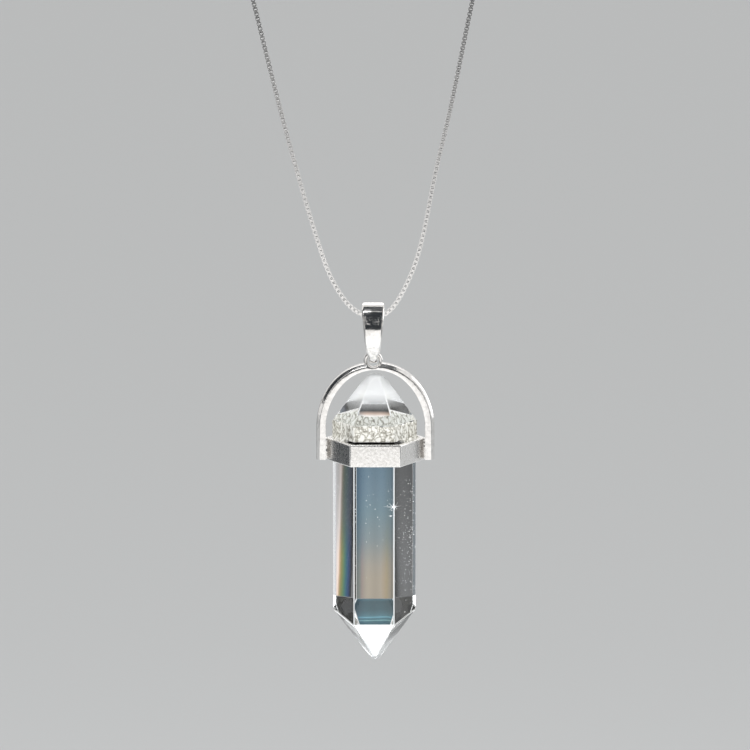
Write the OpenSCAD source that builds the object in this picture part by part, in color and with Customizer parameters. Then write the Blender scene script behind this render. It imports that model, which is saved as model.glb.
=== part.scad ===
// Crystal point pendant on a fine box chain, in millimetres, +Z up.
// The origin is where the closed chain hangs from, at the nape.
// The front of the pendant looks along -Y.

/* [Crystal] */
// Width of the crystal's six-sided body across its flats
stone_w = 8; // [6:0.1:12]
// Length of the crystal's straight body between its shoulders
stone_body = 21.3; // [14:0.1:40]
// Height of each point if it were cut to a sharp tip
stone_cap = 6.3; // [4:0.1:9]
// Length worn off the upper sharp tip
upper_blunt = 1.1; // [0.3:0.05:2]
// Length worn off the lower sharp tip
lower_blunt = 0.6; // [0.2:0.05:2]
// Radius of the small flat table on each tip
table_r = 0.32; // [0.1:0.02:0.6]
// Width of the polished flat along each upright edge
edge_polish = 0.2; // [0.05:0.05:0.4]
// Height of the upper shoulder above the middle of the collar
stone_seat = 3.25; // [2:0.05:6]

/* [Collar] */
// Height of the six-sided collar
collar_h = 2.5; // [1.5:0.1:5]
// Thickness of the collar's wall
collar_wall = 0.55; // [0.4:0.05:1]
// Width of the bevel round the collar's top edge
collar_bevel = 0.22; // [0.05:0.01:0.35]
// Width of the bevel down each corner of the collar
corner_bevel = 0.18; // [0.05:0.01:0.4]
// Room for cement between the crystal and the collar
glue_line = 0.26; // [0.16:0.02:0.5]
// Clearance on each side of the cement
glue_gap = 0.03; // [0.02:0.01:0.05]
// Height of the cement bead above the collar
bead_h = 0.22; // [0.1:0.02:0.5]

/* [Arch] */
// Half of the arch's outer width
arch_half_w = 6.5; // [6:0.05:9]
// Height of the arch's curved stretch
arch_rise = 7.15; // [7:0.05:12]
// Height of the arch's top above the middle of the collar
arch_h = 9.65; // [9.2:0.05:16]
// Thickness of the arch at its legs
leg_t = 1.05; // [0.8:0.05:1.6]
// Thickness of the arch at its top
arch_top_t = 0.75; // [0.5:0.05:1.2]
// Depth of the arch from front to back
arch_d = 1.8; // [1.5:0.1:3]
// Bevel along the arch's outer edges
arch_bevel = 0.36; // [0.1:0.02:0.5]
// Distance of the side arcs' centres beyond the middle
arch_lean = 1.6; // [1.3:0.05:2.4]
// Radius of the solder seam between each leg and the collar
solder_r = 0.35; // [0.2:0.05:0.5]
// Sideways distance from the eyelet to the middle of the arch
arch_shift = 0.25; // [0:0.05:0.5]

/* [Eyelet] */
// Thickness of the eyelet's wire
eyelet_wire = 0.42; // [0.3:0.02:0.6]
// Radius of the eyelet's hole
eyelet_hole_r = 0.64; // [0.6:0.01:0.9]
// Height of the hole's centre above the top of the arch
eyelet_rise = 0.17; // [0.1:0.01:0.5]

/* [Bail] */
// Overall height of the bail
bail_h = 6.75; // [5.5:0.05:10]
// Width of the bail at its shoulder
bail_w = 2.5; // [2:0.1:4]
// Width of the bail just above its neck
bail_waist_w = 1.6; // [1.2:0.1:2]
// Width of the neck that goes through the eyelet
bail_neck_w = 0.95; // [0.7:0.05:1]
// Thickness of the neck
bail_neck_t = 0.64; // [0.4:0.02:0.7]
// Thickness of the bail's wall over the chain
bail_top_t = 0.95; // [0.5:0.05:1.2]
// Thickness of the bail's front and back walls
bail_side_t = 0.5; // [0.3:0.05:0.7]
// Depth of the bail from front to back
bail_d = 4; // [3.6:0.1:6]
// Clearance between the neck and the sides of the eyelet's hole
neck_gap = 0.07; // [0.05:0.01:0.12]

/* [Chain and clasp] */
// Width of the box chain
chain_w = 0.5; // [0.4:0.05:0.55]
// Clearance between the chain and the bail
hang_gap = 0.05; // [0.04:0.01:0.15]
// Length of the clasp
clasp_l = 12; // [11:0.5:13]
// Width of the clasp
clasp_w = 3.6; // [3.2:0.1:5]
// Thickness of the clasp
clasp_t = 1.4; // [1:0.1:2]
// Radius of the holes that take the jump rings
clasp_hole_r = 0.65; // [0.55:0.05:0.8]
// Mean radius of a jump ring
ring_r = 1.35; // [1.25:0.05:1.4]
// Thickness of a jump ring's wire
ring_wire = 0.5; // [0.4:0.05:0.6]

/* [Hidden] */
$fn = 72;

// The two halves of the chain, as points [sideways, up] from its low point inside the bail.
// The stretch above 36 mm takes the plain way round to the clasp, for a chain of 450 mm.
route_left = [
    [0, 0], [-1.25, 0.4], [-2.5, 1.25], [-3.7, 2.8], [-4.9, 5.1], [-6.1, 8.6], [-7.7, 14],
    [-10, 22.5], [-13.3, 36], [-18.5, 57], [-25, 83], [-31.5, 110], [-36.5, 131.5],
    [-39.3, 148.5], [-38, 164.5], [-33, 178.5], [-25, 188.8], [-16.2, 194.7], [-7.6, 197.2]
];
route_right = [
    [0, 0], [1.25, 0.4], [2.3, 1.35], [3.4, 3.2], [4.6, 6], [5.6, 9.8], [6.8, 16],
    [8.6, 24], [11, 36], [15.5, 57.5], [21, 83], [27, 112], [32, 133.5],
    [35.3, 149], [35.5, 164.5], [32, 178.2], [25, 188.4], [16.2, 194.5], [7.6, 197.2]
];
route_steps = 2;
tube_sides = 8;

// Where the chain's route ends beside the clasp, on the right side
chain_end = route_right[len(route_right) - 1];

// Height of the chain's centre line at a sideways distance x, whichever half is higher there
route_left_out = [for (p = route_left) [-p[0], p[1]]];
function chain_rise(x) = max(lookup(x, route_right), lookup(x, route_left_out));
edge_step = 0.3;
edge_climb = chain_rise(bail_w / 2 + edge_step) - chain_rise(bail_w / 2 - edge_step);
edge_slope = atan2(edge_climb, 2 * edge_step);

// Heights of the bail, from the chain that it hangs on
chain_low_z = -chain_end[1];
chain_edge_z = chain_low_z + chain_rise(bail_w / 2);
bail_in_top_z = chain_edge_z + (chain_w / 2 + hang_gap) / cos(edge_slope);
bail_top_z = bail_in_top_z + bail_top_t;
bail_bottom_z = bail_top_z - bail_h;
bail_top_r = bail_d / 2;
bail_in_r = bail_top_r - bail_side_t;

// The eyelet's upper bar lies in the bend of the bail's neck
eyelet_mean_r = eyelet_hole_r + eyelet_wire / 2;
neck_reach = sqrt(pow(eyelet_hole_r, 2) - pow(bail_neck_w / 2, 2)) - neck_gap;
neck_in_r = eyelet_mean_r - neck_reach;
neck_out_r = neck_in_r + bail_neck_t;
pin_z = bail_bottom_z + neck_out_r;
eyelet_z = pin_z - eyelet_mean_r;
arch_hole_gap = 0.2 * eyelet_wire;
neck_end_z = bail_bottom_z + 0.12 * bail_h;
waist_z = bail_bottom_z + 0.2 * bail_h;
shoulder_z = bail_bottom_z + 0.88 * bail_h;
bail_crown_w = 0.96 * bail_w;

// Heights of the setting and the crystal
arch_top_z = eyelet_z - eyelet_rise;
arch_spring_z = arch_top_z - arch_rise;
collar_z = arch_top_z - arch_h;
leg_bottom_z = collar_z - 0.46 * collar_h;
stone_flat_r = stone_w / 2;
stone_corner_r = stone_flat_r / cos(30);
collar_in_r = stone_flat_r + glue_line;
collar_out_r = collar_in_r + collar_wall;
collar_corner_r = collar_out_r / cos(30);
stone_shoulder_z = collar_z + stone_seat;
stone_foot_z = stone_shoulder_z - stone_body;
upper_apex_z = stone_shoulder_z + stone_cap;
lower_apex_z = stone_foot_z - stone_cap;
upper_tip_z = upper_apex_z - upper_blunt;
lower_tip_z = lower_apex_z + lower_blunt;
cap_slope = atan2(stone_cap, stone_flat_r);
tip_slope = 30;
cutter = 8 * stone_w;

// How far each facet of a point is cut further out than a true point, as a share of the point's
// height: [turn of the facet's normal in degrees, share on the upper point, share on the lower]
FACETS = [
    [30, 0.01, 0],
    [90, 0, 0.03],
    [150, 0.02, 0.01],
    [210, 0, 0],
    [270, 0.01, 0.17],
    [330, 0, 0.02]
];

// A six-sided bar of a given distance from its middle to its flats, with a flat facing -Y
module hex_bar(flat_r, height, base_z) {
    translate([0, 0, base_z])
        cylinder(r = flat_r / cos(30), h = height, $fn = 6);
}

// Everything above a plane that falls away at a slope in the direction of a turn
module half_space(turn, slope, top_z) {
    translate([0, 0, top_z])
        rotate([0, slope, turn])
            translate([-cutter / 2, -cutter / 2, 0])
                cube(cutter);
}

// The facets and the small table of one point, for an apex that points up
module point_cuts(apex_z, tip_z, share_column) {
    rim_z = tip_z + table_r * tan(tip_slope);
    for (f = FACETS) {
        half_space(f[0], cap_slope, apex_z + f[share_column] * stone_cap);
        half_space(f[0], tip_slope, rim_z);
    }
    translate([-cutter / 2, -cutter / 2, tip_z])
        cube(cutter);
}

// The clear quartz point: a six-sided body with a six-sided point at each end
module crystal_point() {
    polish_in = edge_polish / (2 * tan(60));
    span = upper_apex_z - lower_apex_z + 2 * stone_cap;
    color([0.86, 0.9, 0.93, 0.6])
        translate([arch_shift, 0, 0])
            difference() {
                intersection() {
                    hex_bar(stone_flat_r, span, lower_apex_z - stone_cap);
                    rotate([0, 0, 30])
                        hex_bar(stone_corner_r - polish_in, span, lower_apex_z - stone_cap);
                }
                point_cuts(upper_apex_z, upper_tip_z, 1);
                mirror([0, 0, 1])
                    point_cuts(-lower_apex_z, -lower_tip_z, 2);
            }
}

// The cement between the crystal and the collar, with a low bead on top
module cement_ring() {
    in_r = stone_flat_r + glue_gap;
    out_r = collar_in_r - glue_gap;
    foot_z = collar_z - collar_h / 2 + glue_gap;
    bead_z = collar_z + collar_h / 2 + glue_gap;
    bead_out_r = collar_in_r + 0.2 * collar_wall;
    color([0.8, 0.8, 0.76])
        translate([arch_shift, 0, 0])
            difference() {
                union() {
                    hex_bar(out_r, collar_h, foot_z);
                    hex_bar(bead_out_r, bead_h, bead_z);
                }
                hex_bar(in_r, cutter, collar_z - cutter / 2);
            }
}

// A disc whose axis runs along Y, with bevelled rims
module bevelled_disc(r, depth, bevel) {
    rotate([90, 0, 0])
        rotate_extrude()
            polygon([
                [0, -depth / 2],
                [r - bevel, -depth / 2],
                [r, -depth / 2 + bevel],
                [r, depth / 2 - bevel],
                [r - bevel, depth / 2],
                [0, depth / 2]
            ]);
}

// An outline given in front view, [sideways, up], made a slab of a given depth
module slab(outline, depth) {
    rotate([90, 0, 0])
        linear_extrude(depth, center = true)
            polygon(outline);
}

// Height of the top arc's centre above the springing, where it runs on smoothly from the side arcs
function top_arc_z(half_w, rise) =
    (pow(arch_lean, 2) - pow(half_w + arch_lean - rise, 2)) / (2 * (half_w + arch_lean - rise));

// A solid door shape with a three-arc head, springing at height zero.
// The side arcs and the top arc meet on the lines through their centres.
module door(half_w, rise, depth, bevel, leg) {
    side_r = half_w + arch_lean;
    top_z = top_arc_z(half_w, rise);
    reach = 2 * half_w;
    reach_z = top_z + reach * top_z / arch_lean;
    translate([0, 0, -leg])
        linear_extrude(leg)
            polygon([
                [-half_w, depth / 2 - bevel],
                [-half_w, -depth / 2 + bevel],
                [-half_w + bevel, -depth / 2],
                [half_w - bevel, -depth / 2],
                [half_w, -depth / 2 + bevel],
                [half_w, depth / 2 - bevel],
                [half_w - bevel, depth / 2],
                [-half_w + bevel, depth / 2]
            ]);
    intersection() {
        translate([-arch_lean, 0, 0])
            bevelled_disc(side_r, depth, bevel);
        translate([arch_lean, 0, 0])
            bevelled_disc(side_r, depth, bevel);
        slab([[-reach, 0], [reach, 0], [reach, reach_z], [0, top_z], [-reach, reach_z]], 2 * depth);
    }
    intersection() {
        translate([0, 0, top_z])
            bevelled_disc(rise - top_z, depth, bevel);
        slab([[0, top_z], [reach, reach_z], [reach, 2 * reach_z], [-reach, 2 * reach_z],
              [-reach, reach_z]], 2 * depth);
    }
}

// The bent bar that stands on the collar's two side corners
module arch() {
    leg = arch_spring_z - leg_bottom_z;
    translate([arch_shift, 0, arch_spring_z])
        difference() {
            door(arch_half_w, arch_rise, arch_d, arch_bevel, leg);
            door(arch_half_w - leg_t, arch_rise - arch_top_t, 2 * arch_d, 0, leg + arch_d);
        }
}

// The six-sided band, with a bevelled top edge and bevelled corners
module collar() {
    slope = 45;
    bevel_apex = collar_z + collar_h / 2 + (collar_out_r - collar_bevel) * tan(slope);
    bevel_foot = collar_z - collar_h / 2 - (collar_out_r - 0.4 * collar_bevel) * tan(slope);
    bevel_in = corner_bevel / (2 * tan(60));
    translate([arch_shift, 0, 0])
        difference() {
            intersection() {
                hex_bar(collar_out_r, collar_h, collar_z - collar_h / 2);
                rotate([0, 0, 30])
                    hex_bar(collar_corner_r - bevel_in, collar_h, collar_z - collar_h / 2);
            }
            hex_bar(collar_in_r, 2 * collar_h, collar_z - collar_h);
            for (f = FACETS) {
                half_space(f[0], slope, bevel_apex);
                mirror([0, 0, 1])
                    half_space(f[0], slope, -bevel_foot);
            }
        }
}

// The seams where the legs are soldered to the collar
module solder_seams() {
    for (side = [-1, 1])
        translate([arch_shift + side * (arch_half_w - leg_t), 0, leg_bottom_z])
            cylinder(r = solder_r, h = 0.92 * collar_h);
}

// The small ring on top of the arch
module eyelet() {
    translate([0, 0, eyelet_z])
        rotate([90, 0, 0])
            rotate_extrude()
                translate([eyelet_mean_r, 0])
                    circle(d = eyelet_wire, $fn = 32);
}

// The setting, soldered into one piece: collar, arch and eyelet
module collar_arch() {
    color([0.82, 0.82, 0.83])
        union() {
            difference() {
                arch();
                translate([0, 0, eyelet_z])
                    rotate([90, 0, 0])
                        cylinder(r = eyelet_hole_r + arch_hole_gap, h = 2 * arch_d, center = true);
            }
            eyelet();
            collar();
            solder_seams();
        }
}

// A drop shape in side view, made of two circles and their two common tangents
module drop_shape(top_r, top_z, low_r, low_z) {
    lean = asin((top_r - low_r) / (top_z - low_z));
    translate([0, top_z])
        circle(r = top_r);
    translate([0, low_z])
        circle(r = low_r);
    polygon([
        [-top_r * cos(lean), top_z - top_r * sin(lean)],
        [-low_r * cos(lean), low_z - low_r * sin(lean)],
        [low_r * cos(lean), low_z - low_r * sin(lean)],
        [top_r * cos(lean), top_z - top_r * sin(lean)]
    ]);
}

// The bail: a tapered strap folded over the chain and closed through the eyelet
module bail() {
    color([0.85, 0.85, 0.86])
        intersection() {
            rotate([90, 0, 90])
                linear_extrude(2 * bail_w, center = true)
                    difference() {
                        drop_shape(bail_top_r, bail_top_z - bail_top_r, neck_out_r, pin_z);
                        drop_shape(bail_in_r, bail_in_top_z - bail_in_r, neck_in_r, pin_z);
                    }
            slab([
                [-bail_neck_w / 2, bail_bottom_z - bail_neck_t],
                [bail_neck_w / 2, bail_bottom_z - bail_neck_t],
                [bail_neck_w / 2, neck_end_z],
                [bail_waist_w / 2, waist_z],
                [bail_w / 2, shoulder_z],
                [bail_crown_w / 2, bail_top_z + bail_top_t],
                [-bail_crown_w / 2, bail_top_z + bail_top_t],
                [-bail_w / 2, shoulder_z],
                [-bail_waist_w / 2, waist_z],
                [-bail_neck_w / 2, neck_end_z]
            ], 2 * bail_d);
        }
}

// A point of the smooth curve through four route points, at the share t between the middle two
function curve_point(a, b, c, d, t) =
    0.5 * (2 * b + (c - a) * t + (2 * a - 5 * b + 4 * c - d) * t * t
        + (3 * b - a - 3 * c + d) * t * t * t);

// The route with one more point beyond each end, so that it leaves the low point level
function with_ends(route) = let (n = len(route)) concat(
    [[-route[1][0], route[1][1]]],
    route,
    [2 * route[n - 1] - route[n - 2]]);

// The finer line through a route: route_steps points for each stretch, and the last point
function fine_line(route) = let (p = with_ends(route), n = len(route)) concat(
    [for (i = [1 : n - 1], s = [0 : route_steps - 1])
        curve_point(p[i - 1], p[i], p[i + 1], p[i + 2], s / route_steps)],
    [route[n - 1]]);

function unit(v) = v / norm(v);

// Direction of a line at its point i
function line_dir(line, i) = let (n = len(line))
    i == 0 ? [sign(line[1][0]), 0] : unit(line[min(i + 1, n - 1)] - line[i - 1]);

// A tube along a line of points [sideways, up], flat across its two ends
module tube(line, width) {
    n = len(line);
    k = tube_sides;
    points = [for (i = [0 : n - 1], j = [0 : k - 1])
        let (dir = line_dir(line, i), a = (j + 0.5) * 360 / k, r = width / (2 * cos(180 / k)))
        [line[i][0] - dir[1] * r * cos(a), r * sin(a), line[i][1] + dir[0] * r * cos(a)]];
    walls = [for (i = [0 : n - 2], j = [0 : k - 1])
        [i * k + j, i * k + (j + 1) % k, (i + 1) * k + (j + 1) % k, (i + 1) * k + j]];
    first_end = [for (j = [k - 1 : -1 : 0]) j];
    last_end = [for (j = [0 : k - 1]) (n - 1) * k + j];
    polyhedron(points, concat([first_end], walls, [last_end]), convexity = 10);
}

// The left half of the box chain
module chain_left() {
    color([0.75, 0.76, 0.78])
        translate([0, 0, chain_low_z])
            tube(fine_line(route_left), chain_w);
}

// The right half of the box chain
module chain_right() {
    color([0.75, 0.76, 0.78])
        translate([0, 0, chain_low_z])
            tube(fine_line(route_right), chain_w);
}

// The jump rings lie level at the height of the origin
ring_x = chain_end[0] - hang_gap - ring_wire / 2 - ring_r;
hole_x = ring_x - ring_r;

// A jump ring that lies level and joins the chain's end to the clasp
module jump_ring(side) {
    color([0.78, 0.78, 0.8])
        translate([side * ring_x, 0, 0])
            rotate_extrude()
                translate([ring_r, 0])
                    circle(d = ring_wire, $fn = 24);
}

module jump_ring_left() {
    jump_ring(-1);
}

module jump_ring_right() {
    jump_ring(1);
}

// The plain clasp at the nape: a flat link with a hole for a jump ring at each end
module clasp() {
    color([0.8, 0.8, 0.82])
        rotate([90, 0, 0])
            linear_extrude(clasp_t, center = true)
                difference() {
                    union() {
                        square([clasp_l - clasp_w, clasp_w], center = true);
                        for (side = [-1, 1])
                            translate([side * (clasp_l - clasp_w) / 2, 0])
                                circle(d = clasp_w);
                    }
                    for (side = [-1, 1])
                        translate([side * hole_x, 0])
                            circle(r = clasp_hole_r);
                }
}

crystal_point();
cement_ring();
collar_arch();
bail();
chain_left();
chain_right();
jump_ring_left();
jump_ring_right();
clasp();
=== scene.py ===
# Crystal point pendant on a fine box chain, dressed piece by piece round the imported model.
# The pendant's lengths are written in millimetres and turned into metres by MM, and those of
# the studio round it are in metres. The front looks along -Y.
import math
import random

import bpy
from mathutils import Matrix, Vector, noise


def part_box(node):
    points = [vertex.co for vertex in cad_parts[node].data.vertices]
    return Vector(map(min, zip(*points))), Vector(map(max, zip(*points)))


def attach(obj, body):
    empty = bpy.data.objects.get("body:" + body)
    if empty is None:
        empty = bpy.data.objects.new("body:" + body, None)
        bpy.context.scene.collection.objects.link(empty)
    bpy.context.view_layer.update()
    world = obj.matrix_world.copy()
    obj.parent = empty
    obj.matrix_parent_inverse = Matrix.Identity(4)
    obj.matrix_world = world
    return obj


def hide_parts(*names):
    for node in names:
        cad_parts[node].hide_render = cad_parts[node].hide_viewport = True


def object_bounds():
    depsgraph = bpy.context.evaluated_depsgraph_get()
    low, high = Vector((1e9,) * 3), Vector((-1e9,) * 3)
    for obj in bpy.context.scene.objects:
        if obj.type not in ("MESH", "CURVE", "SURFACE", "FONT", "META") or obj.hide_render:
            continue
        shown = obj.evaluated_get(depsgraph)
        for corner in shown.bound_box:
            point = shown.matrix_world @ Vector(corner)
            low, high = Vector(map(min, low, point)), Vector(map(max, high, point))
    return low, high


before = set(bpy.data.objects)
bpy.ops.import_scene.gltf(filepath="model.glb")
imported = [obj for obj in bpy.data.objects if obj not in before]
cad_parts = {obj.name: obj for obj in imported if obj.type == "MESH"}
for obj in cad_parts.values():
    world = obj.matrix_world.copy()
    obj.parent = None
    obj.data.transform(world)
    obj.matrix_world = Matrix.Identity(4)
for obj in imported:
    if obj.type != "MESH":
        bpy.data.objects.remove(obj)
cad_low, cad_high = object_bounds()

# The camera stands straight in front of the pendant and ten degrees above it, as in the photo.
# Its aim is the point of the pendant that lies at the middle of the photo's frame. Heights on
# the pendant are counted from the middle of its collar.
MM = 0.001
collar_h = 2.5 * MM
collar_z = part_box("collar_arch")[0].z + collar_h / 2
aim_x = 0.2 * MM
aim_rise = 8.2 * MM
aim = Vector((aim_x, 0, collar_z + aim_rise))
photo_field = 82.5 * MM
camera_reach = 0.6
camera_rise = math.radians(10)
lens_data = bpy.data.cameras.new("camera")
lens_data.sensor_width = 36
lens_data.lens = lens_data.sensor_width * camera_reach / photo_field
lens_data.clip_start = 0.02
camera = bpy.data.objects.new("camera", lens_data)
bpy.context.scene.collection.objects.link(camera)
camera.location = aim + camera_reach * Vector((0, -math.cos(camera_rise), math.sin(camera_rise)))
camera.rotation_euler = (math.pi / 2 - camera_rise, 0, 0)
bpy.context.scene.camera = camera

# The floor: one pale sheet far wider than the view, well below the crystal's lower tip.
# It has no edge in view, so that the pendant hangs in front of an even pale ground.
floor_drop = 200 * MM
floor_r = 12


def new_finish(name, looks):
    """A new material with these values on its shader."""
    finish = bpy.data.materials.new(name)
    finish.use_nodes = True
    for socket, value in looks.items():
        finish.node_tree.nodes["Principled BSDF"].inputs[socket].default_value = value
    return finish


bpy.ops.object.select_all(action="DESELECT")
bpy.ops.mesh.primitive_circle_add(
    vertices=96, radius=floor_r, fill_type="NGON", location=(0, 0, cad_low.z - floor_drop))
floor = bpy.context.object
floor.name = "floor"
floor_paint = new_finish("floor_paint", {"Base Color": (0.545, 0.56, 0.57, 1), "Roughness": 0.9})
floor.data.materials.append(floor_paint)

# The light of a small studio: a pale room and soft boxes, each given by its direction from
# the pendant, its distance, and its width and height. The camera's direction is 270 degrees.
room = bpy.data.worlds.new("room")
room.use_nodes = True
room.node_tree.nodes["Background"].inputs["Color"].default_value = (1, 0.99, 0.975, 1)
room.node_tree.nodes["Background"].inputs["Strength"].default_value = 0.85
bpy.context.scene.world = room
bpy.context.scene.view_settings.view_transform = "Standard"


def studio_place(turn, rise, reach):
    """The place at a direction and distance from the aim, and that direction."""
    turn, rise = math.radians(turn), math.radians(rise)
    way = Vector((math.cos(turn) * math.cos(rise), math.sin(turn) * math.cos(rise), math.sin(rise)))
    return aim + way * reach, way


def soft_box(name, turn, rise, reach, width, height, glow, colour=(1, 1, 1)):
    """A flat lamp that faces the aim; glow is how bright it looks, whatever its size."""
    light = bpy.data.lights.new(name, "AREA")
    light.shape = "RECTANGLE"
    light.size, light.size_y = width, height
    light.energy = glow * math.pi * width * height
    light.color = colour
    box = bpy.data.objects.new(name, light)
    bpy.context.scene.collection.objects.link(box)
    box.location, way = studio_place(turn, rise, reach)
    box.rotation_euler = way.to_track_quat("Z", "Y").to_euler()
    box.visible_camera = False


soft_box("key_box", 235, 62, 0.7, 0.25, 0.25, 8)
soft_box("front_box", 270, -10, 0.5, 0.5, 0.16, 0.55, (1, 0.96, 0.92))
soft_box("front_low_box", 270, -40, 0.26, 0.44, 0.2, 0.55, (1, 0.96, 0.92))
soft_box("under_box", 90, -76, 0.2, 0.14, 0.14, 0.25)
soft_box("top_box", 300, 80, 0.7, 0.4, 0.3, 3)
soft_box("back_high_box", 90, 43, 0.5, 0.5, 0.16, 3)
soft_box("right_box", 10, 20, 0.5, 0.2, 0.4, 2)

# Dark cards stand round the pendant, out of the picture. Glass and bright metal need
# something dark to mirror, or their edges vanish against a pale ground.
card_paint = new_finish("card_paint", {"Base Color": (0.02, 0.025, 0.03, 1), "Roughness": 0.9})


def dark_card(name, turn, rise, reach, width, height):
    """A card that faces the aim and is seen in nothing but mirror images."""
    bpy.ops.object.select_all(action="DESELECT")
    place, way = studio_place(turn, rise, reach)
    facing = way.to_track_quat("Z", "Y").to_euler()
    bpy.ops.mesh.primitive_plane_add(size=1, location=place, rotation=facing)
    card = bpy.context.object
    card.name = name
    card.scale = (width, height, 1)
    card.data.materials.append(card_paint)
    card.visible_camera = False
    card.visible_diffuse = False
    card.visible_transmission = False
    card.visible_shadow = False


dark_card("card_left_back", 152, -8, 0.3, 0.16, 0.2)
dark_card("card_left", 190, 38, 0.3, 0.18, 0.32)
dark_card("card_front_left", 218, 5, 0.3, 0.10, 0.3)
dark_card("card_front_right", 322, 5, 0.3, 0.12, 0.3)
dark_card("card_front", 270, 28.5, 0.3, 0.3, 0.38)
dark_card("card_front_high", 270, 81, 0.3, 0.3, 0.18)

# A ring close round the pendant shows only through the crystal. It glows with painted light and
# shade: blue-grey to tan from top to bottom, dark and bright in turn on its way round, as a lit studio is.
ring_reach = 80 * MM
ring_low, ring_high = -90 * MM, 42 * MM
bpy.ops.object.select_all(action="DESELECT")
bpy.ops.mesh.primitive_cylinder_add(
    vertices=96, radius=ring_reach, depth=ring_high - ring_low, end_fill_type="NOTHING",
    location=(0, 0, aim.z + (ring_low + ring_high) / 2))
painted_light_ring = bpy.context.object
painted_light_ring.name = "painted_light_ring"
bpy.ops.object.transform_apply(location=True, rotation=True, scale=True)
ring_light_paint = bpy.data.materials.new("ring_painted_light")
ring_light_paint.use_nodes = True
nodes, links = ring_light_paint.node_tree.nodes, ring_light_paint.node_tree.links
nodes.clear()


def number_node(kind, one, *values):
    """A sum on a value of the ring's paint; floats are constants, the rest are more values."""
    tree = one.id_data
    node = tree.nodes.new("ShaderNodeMath")
    node.operation = kind
    tree.links.new(one, node.inputs[0])
    for spot, value in enumerate(values, 1):
        if isinstance(value, float):
            node.inputs[spot].default_value = value
        else:
            tree.links.new(value, node.inputs[spot])
    return node.outputs[0]


def fade(source, low, high, first=0, last=1):
    """A value that goes from first to last while its source goes from low to high."""
    tree = source.id_data
    span = tree.nodes.new("ShaderNodeMapRange")
    span.inputs["From Min"].default_value = low
    span.inputs["From Max"].default_value = high
    span.inputs["To Min"].default_value = first
    span.inputs["To Max"].default_value = last
    tree.links.new(source, span.inputs["Value"])
    return span.outputs["Result"]


def shades(source, stops):
    """Colours or grey levels, each given with its place between 0 and 1 of the source."""
    tree = source.id_data
    node = tree.nodes.new("ShaderNodeValToRGB")
    ramp = node.color_ramp
    ramp.elements.remove(ramp.elements[-1])
    for number, (spot, level) in enumerate(stops):
        stop = ramp.elements.new(spot) if number else ramp.elements[0]
        stop.position = spot
        stop.color = (*level, 1) if isinstance(level, tuple) else (level, level, level, 1)
    tree.links.new(source, node.inputs["Fac"])
    return node.outputs["Color"]


def painted(source, stops):
    """Colours along the ring's height or turn, given at places in millimetres or degrees."""
    low, high = stops[0][0], stops[-1][0]
    return shades(fade(source, low, high), [((spot - low) / (high - low), level) for spot, level in stops])


def over(kind, under, upper, share=None):
    """One colour laid over another, all over or by a share that varies."""
    tree = under.id_data
    layer = tree.nodes.new("ShaderNodeMixRGB")
    layer.blend_type = kind
    layer.inputs["Fac"].default_value = 1
    if share:
        tree.links.new(share, layer.inputs["Fac"])
    tree.links.new(under, layer.inputs["Color1"])
    tree.links.new(upper, layer.inputs["Color2"])
    return layer.outputs["Color"]


place = nodes.new("ShaderNodeTexCoord")
split = nodes.new("ShaderNodeSeparateXYZ")
links.new(place.outputs["Object"], split.inputs["Vector"])
ring_height = number_node("MULTIPLY_ADD", split.outputs["Z"], 1000.0, -1000.0 * aim.z)
ring_angle = number_node("ARCTAN2", split.outputs["Y"], split.outputs["X"])
ring_turn = number_node("WRAP", number_node("MULTIPLY", ring_angle, math.degrees(1)), 360.0, 0.0)
# Behind the pendant the ring goes from blue-grey down to tan, and elsewhere it is plain grey.
back_tone = painted(ring_height, (
    (-90, 0.3), (-54, 0.2), (-49, 0.13), (-46.5, 0.12), (-43, (0.44, 0.38, 0.30)),
    (-39.5, (0.44, 0.38, 0.30)), (-37.8, (0.41, 0.37, 0.31)), (-34.5, (0.26, 0.31, 0.32)),
    (-30.9, (0.19, 0.28, 0.32)), (-28.1, (0.165, 0.25, 0.31)), (-23.6, (0.115, 0.20, 0.265)),
    (-21, (0.07, 0.14, 0.18)), (-19, (0.05, 0.13, 0.16)), (-15.6, (0.05, 0.13, 0.16)),
    (-15, 0.5), (-9, 1.65), (42, 1.8),
))
side_tone = painted(ring_height, (
    (-90, 0.3), (-67, 0.18), (-57, 0.16), (-53, 0.10), (-43.5, 0.06), (-42.5, 0.19), (-37.8, 0.19),
    (-34.5, 0.17), (-28, 0.12), (-23.6, 0.10), (-17, 0.03), (1, 0.03), (5, 1.3), (42, 1.4),
))
behind = painted(ring_turn, ((0, 0), (80, 0), (83, 1), (98, 1), (101, 0), (360, 0)))
paint = over("MIX", side_tone, back_tone, behind)
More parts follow.
